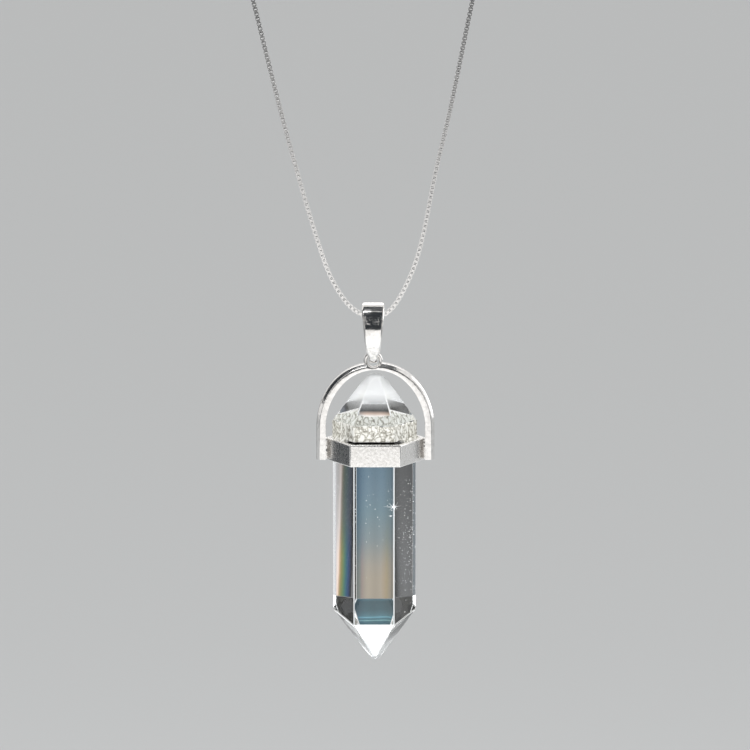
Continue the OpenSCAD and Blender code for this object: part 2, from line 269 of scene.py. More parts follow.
# The left face of the bar looks through to the ring at 48 to 50 degrees, the front face at 88
# to 92 and the right face at 129 to 131, so the stripes that they show stand there.
body_light = painted(ring_height, ((-90, 1), (-15.6, 1), (-15, 0), (42, 0)))
low_light = painted(ring_height, ((-44, 0), (-43.5, 1), (-37, 1), (-32, 0), (-30, 0)))
for source, share, stops in (
    # Painted shade: dim all round but in the three windows that the faces look through, and on the right
    (ring_turn, None, (
        (0, 1), (14, 0.3), (44, 0.3), (45, 1), (53, 1), (56, 0.3), (80, 0.3), (84, 0.65), (86, 1),
        (94, 1), (97, 0.5), (104, 0.3), (124, 0.3), (126, 1), (134, 1), (137, 0.3), (345, 0.3), (360, 1),
    )),
    # The left face: a dark line, then a rainbow that ends in a broad white stripe
    (ring_turn, body_light, (
        (47.5, 1), (47.6, 1.2), (48.03, 1.2), (48.10, 0.28), (48.16, 0.28), (48.36, (0.56, 0.60, 0.72)),
        (48.58, (0.68, 0.82, 0.98)), (48.78, (0.80, 1.05, 1.0)), (48.96, (1.1, 1.22, 1.0)),
        (49.06, (1.7, 1.6, 1.3)), (49.16, (3.2, 2.8, 2.5)), (49.24, (5.4, 4.8, 4.5)),
        (49.5, (4.2, 4.0, 3.9)), (49.8, 5.5), (50.3, 5.5), (50.4, 1),
    )),
    # Lower down, stronger colours on the left and faint ones in front
    (ring_turn, low_light, (
        (48.1, 1), (48.2, (0.7, 0.8, 1.2)), (48.4, (0.55, 0.85, 1.5)), (48.62, (0.6, 1.25, 1.15)),
        (48.84, (1.2, 1.4, 0.65)), (49.02, (1.7, 1.25, 0.7)), (49.2, (1.1, 1, 0.95)), (49.4, 1), (88.7, 1),
        (88.85, (1.08, 1.02, 0.82)), (89.15, (1.06, 0.99, 0.9)), (89.4, 1), (90.7, 1),
        (90.9, (1.1, 0.9, 0.95)), (91.1, 1),
    )),
    # The front face: grey towards its right edge, blue-grey towards its left
    (ring_turn, body_light, (
        (88.1, 1), (88.15, 0.45), (88.3, 0.45), (88.42, (0.40, 0.42, 0.42)), (88.6, 0.70),
        (88.79, (0.77, 0.77, 0.74)), (89.05, 0.87), (89.36, 0.97), (89.85, 0.88), (90.1, 0.93), (90.4, 1),
        (90.62, (0.93, 0.95, 0.97)), (90.89, (0.73, 0.80, 0.85)), (91.06, (0.55, 0.64, 0.72)),
        (91.24, (0.38, 0.50, 0.58)), (91.5, (0.30, 0.36, 0.41)), (91.65, (0.30, 0.36, 0.41)), (91.7, 1),
    )),
    # The right face: pale in the middle, dark at one edge
    (ring_turn, body_light, (
        (128.8, 1), (128.85, 0.6), (129.2, 0.77), (129.75, 0.89), (130.1, 0.77), (130.3, 0.6),
        (130.42, 0.34), (130.52, 0.15), (130.8, 0.15), (130.9, 1),
    )),
    # Painted highlights: thin bright lines all round, one low and two close together above
    (ring_height, None, (
        (-49.8, 1), (-49.4, 1.2), (-49.2, 7), (-48.8, (9, 8.5, 8)), (-48.5, (6, 4.6, 3.9)), (-48.1, 1),
        (-47.3, 1),
    )),
    (ring_height, None, (
        (-18.9, 1), (-18.3, 1.1), (-18.15, 1.3), (-18.05, (5, 3.6, 3)), (-17.95, 1.4), (-17.8, 1.6),
        (-17.7, 3.2), (-17.6, 1.5), (-17.3, 1.1), (-16.9, 0.8), (-16, 0.7), (-15.9, 1),
    )),
):
    paint = over("MULTIPLY", paint, painted(source, stops), share)
# Outside the windows, painted light for the studio's bright walls and painted shade for a few dark gaps are
# added.
paint = over("ADD", paint, painted(ring_turn, (
    (0, 0.8), (8, 0.9), (14, 1.2), (40, 1.2), (44, 0), (56, 0), (57, 0.9), (81, 0.9), (84, 0), (94, 0),
    (96, 0.9), (123, 0.95), (125, 0), (135, 0), (140, 1.2), (163, 1.2), (166, 0.3), (177, 0.3), (180, 1.2),
    (222, 1.2), (227, 0.28), (231, 0.2), (236, (0.08, 0.11, 0.13)), (272, (0.08, 0.11, 0.13)), (300, 0.85),
    (345, 1), (358, 0.8), (360, 0.8),
)))
# The ring gives out its paint as light: painted light and shade that glows, though it is no lamp.
glow = nodes.new("ShaderNodeEmission")
links.new(paint, glow.inputs["Color"])
out = nodes.new("ShaderNodeOutputMaterial")
links.new(glow.outputs["Emission"], out.inputs["Surface"])
ring_light_paint.cycles.emission_sampling = "NONE"
painted_light_ring.data.materials.append(ring_light_paint)
painted_light_ring.visible_camera = False
painted_light_ring.visible_diffuse = False
painted_light_ring.visible_glossy = False
painted_light_ring.visible_shadow = False

# The crystal: clear rock quartz, ground to a six-sided bar with a point at each end and then
# polished, so every edge is slightly round and both tips are worn to small domes.
stone_x = 0.25 * MM
stone_flat_r = 4 * MM
stone_body = 21.3 * MM
stone_cap = 6.3 * MM
stone_seat = 3.25 * MM
upper_wear = 1.1 * MM
lower_wear = 0.6 * MM
edge_round = 0.12 * MM
back_edge_share = 0.35
dome_slopes = (9, 17, 25, 33, 41, 49)
tip_frost = 0.15
shoulder_z = collar_z + stone_seat
foot_z = shoulder_z - stone_body
cap_slope = math.atan2(stone_cap, stone_flat_r)
stone_corner_r = stone_flat_r / math.cos(math.radians(30))
# The body's corners in plan, in units of the distance to its flats. The two behind stand
# closer together than in front, as hand-ground stones do.
stone_plan = ((1.128, 0), (0.49, 1), (-0.53, 1), (-1.18, 0), (-0.594, -1), (0.514, -1))
# How far below the foot each side's lower facet starts at its two corners, and how far beyond
# the tip it would end, as shares of the point: lower in front and higher behind.
foot_shares = ((0, 0, 0), (-0.13, -0.13, -0.13), (0, 0, 0), (0, 0.17, 0), (0.17, 0.17, 0.17), (0.17, 0, 0))


def stone_side(number):
    """Two corners of one side of the body, its outward direction and its distance."""
    one = Vector((*stone_plan[number], 0)) * stone_flat_r
    other = Vector((*stone_plan[(number + 1) % 6], 0)) * stone_flat_r
    out = Vector((other.y - one.y, one.x - other.x, 0)).normalized()
    return one, other, out, out.dot(one)


def cut_away(spot, out):
    """Cuts off what lies beyond a plane, and closes the cut."""
    bpy.ops.mesh.select_all(action="SELECT")
    bpy.ops.mesh.bisect(
        plane_co=spot, plane_no=out, use_fill=True, clear_outer=True, threshold=0.0005 * MM)


def bevel_edges(piece, width, segments, angle=None):
    """Rounds the edges that turn by more than an angle, or else by their own weights."""
    rounding = piece.modifiers.new("rounding", "BEVEL")
    rounding.width = width
    rounding.segments = segments
    rounding.limit_method = "ANGLE" if angle else "WEIGHT"
    rounding.angle_limit = math.radians(angle or 0)
    rounding.use_clamp_overlap = False
    bpy.ops.object.modifier_apply(modifier="rounding")


def smooth_flats(piece):
    """Shades the roundings smooth and keeps the large flats flat."""
    bpy.ops.object.shade_smooth_by_angle(angle=math.radians(32))
    weigh = piece.modifiers.new("weigh", "WEIGHTED_NORMAL")
    weigh.keep_sharp = True
    bpy.ops.object.modifier_apply(modifier="weigh")


# The rough stone is larger than the crystal on every side, and its corners lie off the crystal's.
rough_r = 1.3 * stone_corner_r
rough_h = stone_body + 2.2 * stone_cap
bpy.ops.object.select_all(action="DESELECT")
bpy.ops.mesh.primitive_cylinder_add(
    vertices=6, radius=rough_r, depth=rough_h,
    location=(stone_x, 0, (shoulder_z + foot_z) / 2), rotation=(0, 0, math.radians(75)))
crystal = bpy.context.object
crystal.name = "crystal"
bpy.ops.object.transform_apply(location=True, rotation=True, scale=True)
axis = Vector((stone_x, 0, 0))
bpy.ops.object.mode_set(mode="EDIT")
for number, foot_share in enumerate(foot_shares):
    one, other, out, _ = stone_side(number)
    cut_away(axis + one, out)
    for end_z, shares, up in ((shoulder_z, (0, 0, 0), 1), (foot_z, foot_share, -1)):
        low, high, end = (
            axis + spot + Vector((0, 0, end_z + up * (drop + share) * stone_cap))
            for spot, drop, share in zip((one, other, Vector()), (0, 0, 1), shares))
        cut_away(end, up * (high - low).cross(end - low).normalized())
tips = ((shoulder_z, upper_wear, 1), (foot_z, lower_wear, -1))
for end_z, wear, up in tips:
    cut_away(axis + Vector((0, 0, end_z + up * (stone_cap - wear))), (0, 0, up))
bpy.ops.object.mode_set(mode="OBJECT")
sharpness = crystal.data.attributes.new("bevel_weight_edge", "FLOAT", "EDGE")
for edge in crystal.data.edges:
    behind = min(crystal.data.vertices[corner].co.y for corner in edge.vertices) > 0.95 * stone_flat_r
    sharpness.data[edge.index].value = back_edge_share if behind else 1
bevel_edges(crystal, edge_round, 3)
bpy.ops.object.mode_set(mode="EDIT")
for end_z, wear, up in tips:
    dome_r = wear / (1 / math.cos(cap_slope) - 1)
    dome_z = end_z + up * (stone_cap - dome_r / math.cos(cap_slope))
    for slope in dome_slopes:
        lean = math.radians(slope)
        top = axis + Vector((0, 0, dome_z + up * dome_r / math.cos(lean)))
        for turn in range(0, 360, 20):
            spin = math.radians(turn + slope)
            if up < 0 and slope > 30 and math.sin(spin) < -0.35:
                continue  # the lower point's front facet stays flat down to its end
            out = (math.sin(lean) * math.cos(spin), math.sin(lean) * math.sin(spin), up * math.cos(lean))
            cut_away(top, out)
bpy.ops.mesh.select_all(action="SELECT")
bpy.ops.mesh.dissolve_degenerate(threshold=0.004 * MM)
bpy.ops.object.mode_set(mode="OBJECT")
smooth_flats(crystal)


def noise_on(place, scale, detail=2):
    """Even noise over a piece, read at the piece's own coordinates."""
    tree = place.id_data
    pattern = tree.nodes.new("ShaderNodeTexNoise")
    pattern.inputs["Scale"].default_value = scale
    pattern.inputs["Detail"].default_value = detail
    tree.links.new(place, pattern.inputs["Vector"])
    return pattern


def relief_on(shader, pattern, strength, depth):
    """Lets a pattern stand in relief on a shader."""
    tree = pattern.id_data
    relief = tree.nodes.new("ShaderNodeBump")
    relief.inputs["Strength"].default_value = strength
    relief.inputs["Distance"].default_value = depth
    tree.links.new(pattern, relief.inputs["Height"])
    tree.links.new(relief.outputs["Normal"], shader.inputs["Normal"])


# The faces keep the faint waves of the polishing wheel. Towards both ends the quartz is worn:
# each mark gives where the wear starts and is full, as shares of the point, and how bad it is.
quartz = new_finish("clear_quartz", {"Base Color": (0.965, 0.985, 1, 1), "IOR": 1.544})
nodes, links = quartz.node_tree.nodes, quartz.node_tree.links
glass = nodes["Principled BSDF"]
place = nodes.new("ShaderNodeTexCoord").outputs["Object"]
relief_on(glass, noise_on(place, 260, 1).outputs["Fac"], 0.05, 0.05 * MM)
height = nodes.new("ShaderNodeSeparateXYZ")
links.new(place, height.inputs["Vector"])
for socket, action, plain, top_mark, foot_mark in (
    ("Roughness", "ADD", 0, (0.3, 0.45, tip_frost), (0.55, 0.7, tip_frost)),
    ("Transmission Weight", "MULTIPLY", 1, (0.24, 0.5, 0.38), (0.3, 0.55, 0.62)),
):
    worn = nodes.new("ShaderNodeMath")
    worn.operation = action
    for number, (end_z, up, mark) in enumerate(((shoulder_z, 1, top_mark), (foot_z, -1, foot_mark))):
        start, full, worst = mark
        start_z, full_z = end_z + up * start * stone_cap, end_z + up * full * stone_cap
        links.new(fade(height.outputs["Z"], start_z, full_z, plain, worst), worn.inputs[number])
    links.new(worn.outputs[0], glass.inputs[socket])
crystal.data.materials.append(quartz)
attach(crystal, "drop")
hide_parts("crystal_point")

# Small flaws grown into the quartz: a star of thin white cracks in the right front of the
# bar, a second smaller one under it, pale dust near the right face and a little in front.
crack_r = 0.026 * MM
specks, front_specks = 170, 26
# In millimetres: where the right face lies in plan, how far across and below the collar's
# middle the specks spread, with the place where most of them are, and how deep and large they are.
right_corner_x = 4.62
right_face_slope = 1.732
front_across, front_drop = (-1.3, 2.1), (1.8, 15, 4)
right_across, right_drop = (2.4, 4.45, 4), (2, 18.5, 9)
speck_depth, speck_r = (0.15, 0.6), (0.018, 0.045)
flaws = []


def flaw_star(centre, reach, rays, seed):
    """A star of thin cracks, longer to the sides, that turns with the bar's front corner."""
    dice = random.Random(seed)
    for ray in range(rays):
        spin = 2 * math.pi * ray / rays + dice.uniform(-0.12, 0.12)
        across = math.cos(spin)
        length = reach * (0.4 + 0.6 * abs(across) ** 3) * dice.uniform(0.8, 1.1)
        along = Vector((0.52, 0.85, 0)) if across > 0 else Vector((1, 0, 0))
        out = (along * across + Vector((0, 0, 0.7 * math.sin(spin)))).normalized()
        bpy.ops.object.select_all(action="DESELECT")
        bpy.ops.mesh.primitive_cone_add(
            vertices=4, radius1=crack_r, radius2=0, depth=length,
            location=centre + out * length / 2, rotation=out.to_track_quat("Z", "Y").to_euler())
        flaws.append(bpy.context.object)


flaw_star(Vector((2.2 * MM, -3.55 * MM, collar_z - 5.87 * MM)), 1.35 * MM, 8, 3)
flaw_star(Vector((1.95 * MM, -3.4 * MM, collar_z - 6.9 * MM)), 0.35 * MM, 6, 5)
speck_dice = random.Random(11)
for number in range(specks):
    in_front = number < front_specks
    across = speck_dice.uniform(*front_across) if in_front else speck_dice.triangular(*right_across)
    face_y = -stone_flat_r if in_front else (across - right_corner_x) * right_face_slope * MM
    drop = speck_dice.triangular(*(front_drop if in_front else right_drop))
    size = speck_dice.uniform(*speck_r) * MM
    depth = speck_dice.uniform(*speck_depth) * MM
    bpy.ops.object.select_all(action="DESELECT")
    bpy.ops.mesh.primitive_ico_sphere_add(
        subdivisions=1, radius=size, location=(stone_x + across * MM, face_y + depth, collar_z - drop * MM))
    flaws.append(bpy.context.object)


def pick(*pieces):
    """Selects these pieces alone and makes the first of them active."""
    bpy.ops.object.select_all(action="DESELECT")
    for piece in pieces:
        piece.select_set(True)
    bpy.context.view_layer.objects.active = pieces[0]


def joined(name, pieces):
    """Joins pieces into one piece under a name."""
    pick(*pieces)
    bpy.ops.object.join()
    bpy.context.object.name = name
    return bpy.context.object


veils = joined("crystal_flaws", flaws)
bpy.ops.object.transform_apply(location=True, rotation=True, scale=True)
# The cracks and specks are white and also glow a little: painted light, for the light they would catch
# inside the quartz.
flaw_white_glow = new_finish(
    "flaw_white_glow", {"Roughness": 0.45, "Emission Color": (1, 1, 1, 1), "Emission Strength": 0.8})
nodes, links = flaw_white_glow.node_tree.nodes, flaw_white_glow.node_tree.links
place = nodes.new("ShaderNodeTexCoord").outputs["Object"]
tint = shades(noise_on(place, 9000).outputs["Fac"], ((0, (0.80, 0.86, 0.90)), (1, (1, 1, 1))))
links.new(tint, nodes["Principled BSDF"].inputs["Base Color"])
veils.data.materials.append(flaw_white_glow)
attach(veils, "drop")

# The cement: a thin sleeve of glue with silver dust, crumpled as it was squeezed up between
# the crystal and the collar. It wets the crystal, so it shows from inside the quartz.
sleeve_columns = 264
sleeve_rows = 30
sleeve_foot_z = collar_z - 0.44 * collar_h
collar_top_z = collar_z + collar_h / 2
# How far the bead behind and the film in front rise above the collar, in millimetres.
bead_h, bead_tongue = 0.35, 0.15
film_h, film_tongue, film_most = 1.4, 0.25, 1.96
film_start_z = collar_z + 0.53 * collar_h
film_t = 0.02 * MM
tongue_count = 40
crumples_across, crumples_up = 1600, 900
glue_t = 0.2 * MM
wet_depth = 0.03 * MM
bpy.ops.object.select_all(action="DESELECT")
bpy.ops.mesh.primitive_grid_add(x_subdivisions=sleeve_columns, y_subdivisions=sleeve_rows, size=1)
cement = bpy.context.object
cement.name = "cement"


def sleeve_wall(share):
    """The crystal's side at a share of the way round, and its outward direction."""
    side = int(share * 6) % 6
    part = share * 6 - int(share * 6)
    one, other, out, _ = stone_side(side)
    return one.lerp(other, part), out


def bead_rise(share):
    """Height of the sleeve's ragged top edge above the collar: a bead behind, a film in front."""
    front = 0.5 + 0.5 * math.cos(2 * math.pi * (share + 0.25))
    tongues = 0.5 + 0.5 * noise.noise(Vector((share * tongue_count, 3.1, 0)))
    bead = bead_h + bead_tongue * tongues
    return min(film_most, bead + min(1, 2 * front) * (film_h + film_tongue * tongues)) * MM


for vertex in cement.data.vertices:
    share = min(max(vertex.co.x + 0.5, 0), 1) % 1
    height = vertex.co.y + 0.5
    top_z = collar_top_z + bead_rise(share)
    z = sleeve_foot_z + height * (top_z - sleeve_foot_z)
    spot, out = sleeve_wall(share)
    place = Vector((spot.x * crumples_across, spot.y * crumples_across, z * crumples_up))
    crumple = noise.noise(place)
    spot -= out * (wet_depth - crumple * wet_depth)
    vertex.co = (spot.x + stone_x, spot.y, z)
bpy.ops.object.mode_set(mode="EDIT")
bpy.ops.mesh.select_all(action="SELECT")
bpy.ops.mesh.remove_doubles(threshold=0.002 * MM)
bpy.ops.mesh.normals_make_consistent(inside=False)
bpy.ops.object.mode_set(mode="OBJECT")
glue_body = cement.modifiers.new("glue_body", "SOLIDIFY")
glue_body.thickness = glue_t
glue_body.offset = 1
bpy.ops.object.modifier_apply(modifier="glue_body")
sides = [stone_side(side)[2:] for side in range(6)]
for vertex in cement.data.vertices:
    if vertex.co.z > film_start_z:
        spot = Vector((vertex.co.x - stone_x, vertex.co.y, 0))
        over_stone = [(out.dot(spot) - flat_r, out) for out, flat_r in sides]
        stands_out, out = max(over_stone, key=lambda pair: pair[0])
        vertex.co -= max(0, stands_out - film_t) * out
bpy.ops.object.shade_smooth()
glue = new_finish("silver_cement", {"Metallic": 0.35, "Roughness": 0.25})
nodes, links = glue.node_tree.nodes, glue.node_tree.links
skin = nodes["Principled BSDF"]
place = nodes.new("ShaderNodeTexCoord").outputs["Object"]
swayed = nodes.new("ShaderNodeVectorMath")
swayed.operation = "MULTIPLY_ADD"
swayed.inputs[1].default_value = (1.1 * MM, 1.1 * MM, 1.1 * MM)
stretch = nodes.new("ShaderNodeMapping")
stretch.inputs["Scale"].default_value = (1, 1, 0.42)
folds = nodes.new("ShaderNodeTexVoronoi")
folds.feature = "DISTANCE_TO_EDGE"
folds.inputs["Scale"].default_value = 2000
links.new(noise_on(place, 1400).outputs["Color"], swayed.inputs[0])
links.new(place, swayed.inputs[2])
links.new(swayed.outputs["Vector"], stretch.inputs["Vector"])
links.new(stretch.outputs["Vector"], folds.inputs["Vector"])
relief_on(skin, folds.outputs["Distance"], 1, 0.06 * MM)
# Painted shade: the glue is darker along the lines of its folds.
tint = shades(folds.outputs["Distance"], (
    (0, (0.26, 0.25, 0.22)), (0.03, (0.42, 0.41, 0.36)), (0.09, (0.76, 0.75, 0.69)),
    (0.2, (0.95, 0.95, 0.91)),
))
# Painted shade: in front it is dark where it meets the collar's top edge. It also glows a little, more so
# behind: painted light, for the light that reaches it through the quartz.
height = nodes.new("ShaderNodeSeparateXYZ")
links.new(place, height.inputs["Vector"])
lit = nodes.new("ShaderNodeMath")
lit.operation = "MAXIMUM"
links.new(fade(height.outputs["Z"], collar_top_z + 0.14 * MM, collar_top_z + 0.24 * MM), lit.inputs[0])
links.new(fade(height.outputs["Y"], -3.2 * MM, -2.2 * MM), lit.inputs[1])
shaded_rim = over("MULTIPLY", tint, lit.outputs[0])
links.new(shaded_rim, skin.inputs["Base Color"])
links.new(shaded_rim, skin.inputs["Emission Color"])
links.new(fade(height.outputs["Y"], 0, 2 * MM, 0.15, 0.45), skin.inputs["Emission Strength"])
cement.data.materials.append(glue)
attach(cement, "drop")
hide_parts("cement_ring")

# The collar: a six-sided band cast in brass and plated bright silver, with bevelled edges and
# corners. Its flats keep the fine grain of the casting under the plating, like satin.
setting_x = stone_x
collar_flat_r = 4.81 * MM
collar_wall = 0.55 * MM
collar_bevel = 0.17 * MM
bpy.ops.object.select_all(action="DESELECT")
bpy.ops.mesh.primitive_cylinder_add(
    vertices=6, radius=collar_flat_r / math.cos(math.radians(30)), depth=collar_h,
    end_fill_type="NOTHING", location=(setting_x, 0, collar_z), rotation=(0, 0, math.radians(90)))
collar = bpy.context.object
collar.name = "collar"
bpy.ops.object.transform_apply(location=True, rotation=True, scale=True)
band = collar.modifiers.new("band", "SOLIDIFY")
band.thickness = collar_wall
band.offset = -1
band.use_even_offset = True
bpy.ops.object.modifier_apply(modifier="band")


def round_edges(piece, width, segments, angle):
    """Rounds all sharp edges and shades the piece."""
    bevel_edges(piece, width, segments, angle)
    smooth_flats(piece)


round_edges(collar, collar_bevel, 3, 30)


def plating(name, grain_scale, grain_depth, gloss_low, gloss_high, dark, bright):
    """Bright silver plating over a cast surface: grain in relief, colour and gloss."""
    metal = new_finish(name, {"Metallic": 1})
    nodes, links = metal.node_tree.nodes, metal.node_tree.links
    skin = nodes["Principled BSDF"]
    place = nodes.new("ShaderNodeTexCoord").outputs["Object"]
    grain = noise_on(place, grain_scale, 4).outputs["Fac"]
    relief_on(skin, grain, 1, grain_depth)
    links.new(shades(grain, ((0.35, dark), (0.6, bright))), skin.inputs["Base Color"])
    links.new(fade(grain, 0, 1, gloss_high, gloss_low), skin.inputs["Roughness"])
    return metal


satin_plating = plating(
    "satin_plating", 3300, 0.017 * MM, 0.20, 0.34, (0.84, 0.83, 0.81), (0.97, 0.96, 0.95))
collar.data.materials.append(satin_plating)
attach(collar, "drop")

# The arch: a cast bar of the same plated brass, soldered by its two legs to the collar's side
# corners. It is flat in front and behind, with a broad bevel along each outer edge.
arch_half_w = 6.5 * MM
arch_rise = 7.15 * MM
arch_h = 9.65 * MM
leg_t = 1.05 * MM
arch_top_t = 0.75 * MM
arch_d = 1.8 * MM
arch_bevel = 0.36 * MM
arch_edge = 0.06 * MM
arch_lean = 1.6 * MM
leg_reach = 0.46 * collar_h
arch_top_z = collar_z + arch_h
spring_z = arch_top_z - arch_rise
leg_bottom_z = collar_z - leg_reach
arch_steps = 60


def arch_outline(half_w, rise, turn):
    """The point of the arch's outline whose outward direction is the given turn."""
    side_r = half_w + arch_lean
    drop = side_r - rise
    top_z = (arch_lean ** 2 - drop ** 2) / (2 * drop)
    join = math.atan2(top_z, arch_lean)
    if turn > math.pi - join:
        centre, reach = Vector((arch_lean, 0, 0)), side_r
    elif turn < join:
        centre, reach = Vector((-arch_lean, 0, 0)), side_r
    else:
        centre, reach = Vector((0, 0, top_z)), rise - top_z
    return centre + reach * Vector((math.cos(turn), 0, math.sin(turn)))


bpy.ops.object.select_all(action="DESELECT")
bpy.ops.mesh.primitive_grid_add(x_subdivisions=arch_steps + 2, y_subdivisions=6, size=1)
arch = bpy.context.object
arch.name = "arch"
for vertex in arch.data.vertices:
    station = round((vertex.co.x + 0.5) * (arch_steps + 2)) - 1
    corner = round((vertex.co.y + 0.5) * 6) % 6
    turn = math.pi * (1 - min(max(station, 0), arch_steps) / arch_steps)
    outward = Vector((math.cos(turn), 0, math.sin(turn)))
    outer = arch_outline(arch_half_w, arch_rise, turn)
    inner = arch_outline(arch_half_w - leg_t, arch_rise - arch_top_t, turn)
    spot = (inner, outer - outward * arch_bevel, outer, outer, outer - outward * arch_bevel, inner)[corner]
    depth = (0.5, 0.5, 0.5 - arch_bevel / arch_d, arch_bevel / arch_d - 0.5, -0.5, -0.5)[corner] * arch_d
    in_leg = station < 0 or station > arch_steps
    vertex.co = (spot.x + setting_x, -depth, leg_bottom_z if in_leg else spring_z + spot.z)
bpy.ops.object.mode_set(mode="EDIT")
bpy.ops.mesh.select_all(action="SELECT")
bpy.ops.mesh.remove_doubles(threshold=0.001 * MM)
bpy.ops.mesh.select_all(action="DESELECT")
bpy.ops.mesh.select_non_manifold()
bpy.ops.mesh.fill_holes(sides=8)
bpy.ops.mesh.select_all(action="SELECT")
bpy.ops.mesh.normals_make_consistent(inside=False)
bpy.ops.object.mode_set(mode="OBJECT")

# The eyelet's hole leaves a notch in the top of the arch, so the eyelet's sizes come first here.
eyelet_wire = 0.42 * MM
eyelet_hole_r = 0.64 * MM
eyelet_z = arch_top_z + 0.17 * MM
notch_r = eyelet_hole_r + 0.2 * eyelet_wire
bpy.ops.object.select_all(action="DESELECT")
bpy.ops.mesh.primitive_cylinder_add(
    vertices=48, radius=notch_r, depth=2 * arch_d,
    location=(0, 0, eyelet_z), rotation=(math.pi / 2, 0, 0))
notch = bpy.context.object


def cut_with(tool, piece, action):
    """Cuts a piece with a tool body, and clears the tool away."""
    pick(piece)
    cut = piece.modifiers.new("cut", "BOOLEAN")
    cut.object = tool
    cut.operation = action
    bpy.ops.object.modifier_apply(modifier="cut")
    bpy.data.objects.remove(tool)


cut_with(notch, arch, "DIFFERENCE")
round_edges(arch, arch_edge, 2, 30)
arch_plating = plating("arch_plating", 2200, 0.014 * MM, 0.10, 0.22, (0.80, 0.79, 0.78), (0.95, 0.94, 0.93))
arch.data.materials.append(arch_plating)
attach(arch, "drop")

# The solder seams hold the arch's two legs to the collar. Each is a line of silver solder, run
# into the corner beside the leg and a little lumpy, and plated with the rest.
solder_r = 0.35 * MM
solder_round = 0.1 * MM
solder_lumps = 0.09
seams = []
for side in (-1, 1):
    bpy.ops.object.select_all(action="DESELECT")
    bpy.ops.mesh.primitive_cylinder_add(
        vertices=20, radius=solder_r, depth=2 * leg_reach,
        location=(setting_x + side * (arch_half_w - leg_t), 0, leg_bottom_z + leg_reach))
    seam = bpy.context.object
    bpy.ops.object.transform_apply(location=True, rotation=True, scale=True)
    bpy.ops.object.mode_set(mode="EDIT")
    bpy.ops.mesh.subdivide(number_cuts=5)
    bpy.ops.object.mode_set(mode="OBJECT")
    for vertex in seam.data.vertices:
        lump = 1 + solder_lumps * noise.noise(Vector((0, side, vertex.co.z * 2500)))
        vertex.co.x = (vertex.co.x - setting_x) * lump + setting_x
        vertex.co.y *= lump
    round_edges(seam, solder_round, 3, 50)
    seams.append(seam)
solder = joined("solder_seams", seams)
solder.data.materials.append(satin_plating)
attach(solder, "drop")

# The eyelet: a small ring of round brass wire, soldered upright into the top of the arch and
# plated with it. It was bent by hand, so its wire is a little uneven. The collar, the arch, the
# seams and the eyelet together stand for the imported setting.
wire_uneven = 0.06
bpy.ops.object.select_all(action="DESELECT")
bpy.ops.mesh.primitive_torus_add(
    major_radius=eyelet_hole_r + eyelet_wire / 2, minor_radius=eyelet_wire / 2,
    major_segments=64, minor_segments=24,
    location=(0, 0, eyelet_z), rotation=(math.pi / 2, 0, 0))
eyelet = bpy.context.object
eyelet.name = "eyelet"
bpy.ops.object.transform_apply(location=True, rotation=True, scale=True)
for vertex in eyelet.data.vertices:
    vertex.co.y *= 1 + wire_uneven * noise.noise(Vector((vertex.co.x, 0, vertex.co.z)) * 1500)
bpy.ops.object.shade_smooth()
eyelet.data.materials.append(arch_plating)
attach(eyelet, "drop")
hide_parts("collar_arch")
for piece in (arch, solder, eyelet):
    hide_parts("collar_arch")

# The bail: a strap of plated brass folded over the chain, broad and thick above, drawn in at
# its neck, which is closed through the eyelet. Its edges are bevelled and polished.
bail_h = 6.75 * MM
bail_w = 2.5 * MM
bail_d = 4 * MM
bail_top_t = 0.95 * MM
bail_side_t = 0.5 * MM
neck_in_r = 0.491 * MM
neck_out_r = 1.131 * MM
bail_edge = 0.23 * MM
bail_bottom_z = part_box("bail")[0].z
bail_top_z = bail_bottom_z + bail_h
pin_z = bail_bottom_z + neck_out_r
crown_tall = 3 * MM
crown_z = bail_top_z - crown_tall
# The strap seen from the front: its half width in millimetres at shares of the bail's height.
bail_outline = ((0.475, -0.1), (0.475, 0.12), (0.8, 0.2), (1.25, 0.88), (1.2, 1.1))


def folded_shape(name, top_r, top_tall, low_r, width):
    """A drop shape in side view: an oval bar above, a round one below, and their flats."""
    bars = []
    for reach, tall, z in ((top_r, top_tall, crown_z), (low_r, low_r, pin_z)):
        bpy.ops.object.select_all(action="DESELECT")
        bpy.ops.mesh.primitive_cylinder_add(
            vertices=96, radius=reach, depth=width, location=(0, 0, z), rotation=(0, math.pi / 2, 0),
            scale=(tall / reach, 1, 1))
        bpy.ops.object.transform_apply(location=True, rotation=True, scale=True)
        bars.append(bpy.context.object)
    shape = joined(name, bars)
    bpy.ops.object.mode_set(mode="EDIT")
    bpy.ops.mesh.select_all(action="SELECT")
    bpy.ops.mesh.convex_hull()
    bpy.ops.object.mode_set(mode="OBJECT")
    return shape


# The fold is cut out of a solid drop, and a plate with the front's outline trims it to a strap.
bail = folded_shape("bail_strap", bail_d / 2, crown_tall, neck_out_r, 2 * bail_w)
fold = folded_shape("fold", bail_d / 2 - bail_side_t, crown_tall - bail_top_t, neck_in_r, 3 * bail_w)
bpy.ops.object.select_all(action="DESELECT")
bpy.ops.mesh.primitive_grid_add(x_subdivisions=1, y_subdivisions=len(bail_outline) - 1, size=1)
front = bpy.context.object
for vertex in front.data.vertices:
    half_w, height = bail_outline[round((vertex.co.y + 0.5) * (len(bail_outline) - 1))]
    vertex.co = (math.copysign(half_w * MM, vertex.co.x), -bail_d, bail_bottom_z + height * bail_h)
thick = front.modifiers.new("thick", "SOLIDIFY")
thick.thickness = 2 * bail_d
thick.offset = -1
bpy.ops.object.modifier_apply(modifier="thick")
bpy.ops.object.mode_set(mode="EDIT")
bpy.ops.mesh.select_all(action="SELECT")
bpy.ops.mesh.normals_make_consistent(inside=False)
bpy.ops.object.mode_set(mode="OBJECT")
front_low = min(vertex.co.y for vertex in front.data.vertices)
for vertex in front.data.vertices:
    vertex.co.y = -bail_d if vertex.co.y < front_low + bail_d else bail_d
cut_with(fold, bail, "DIFFERENCE")
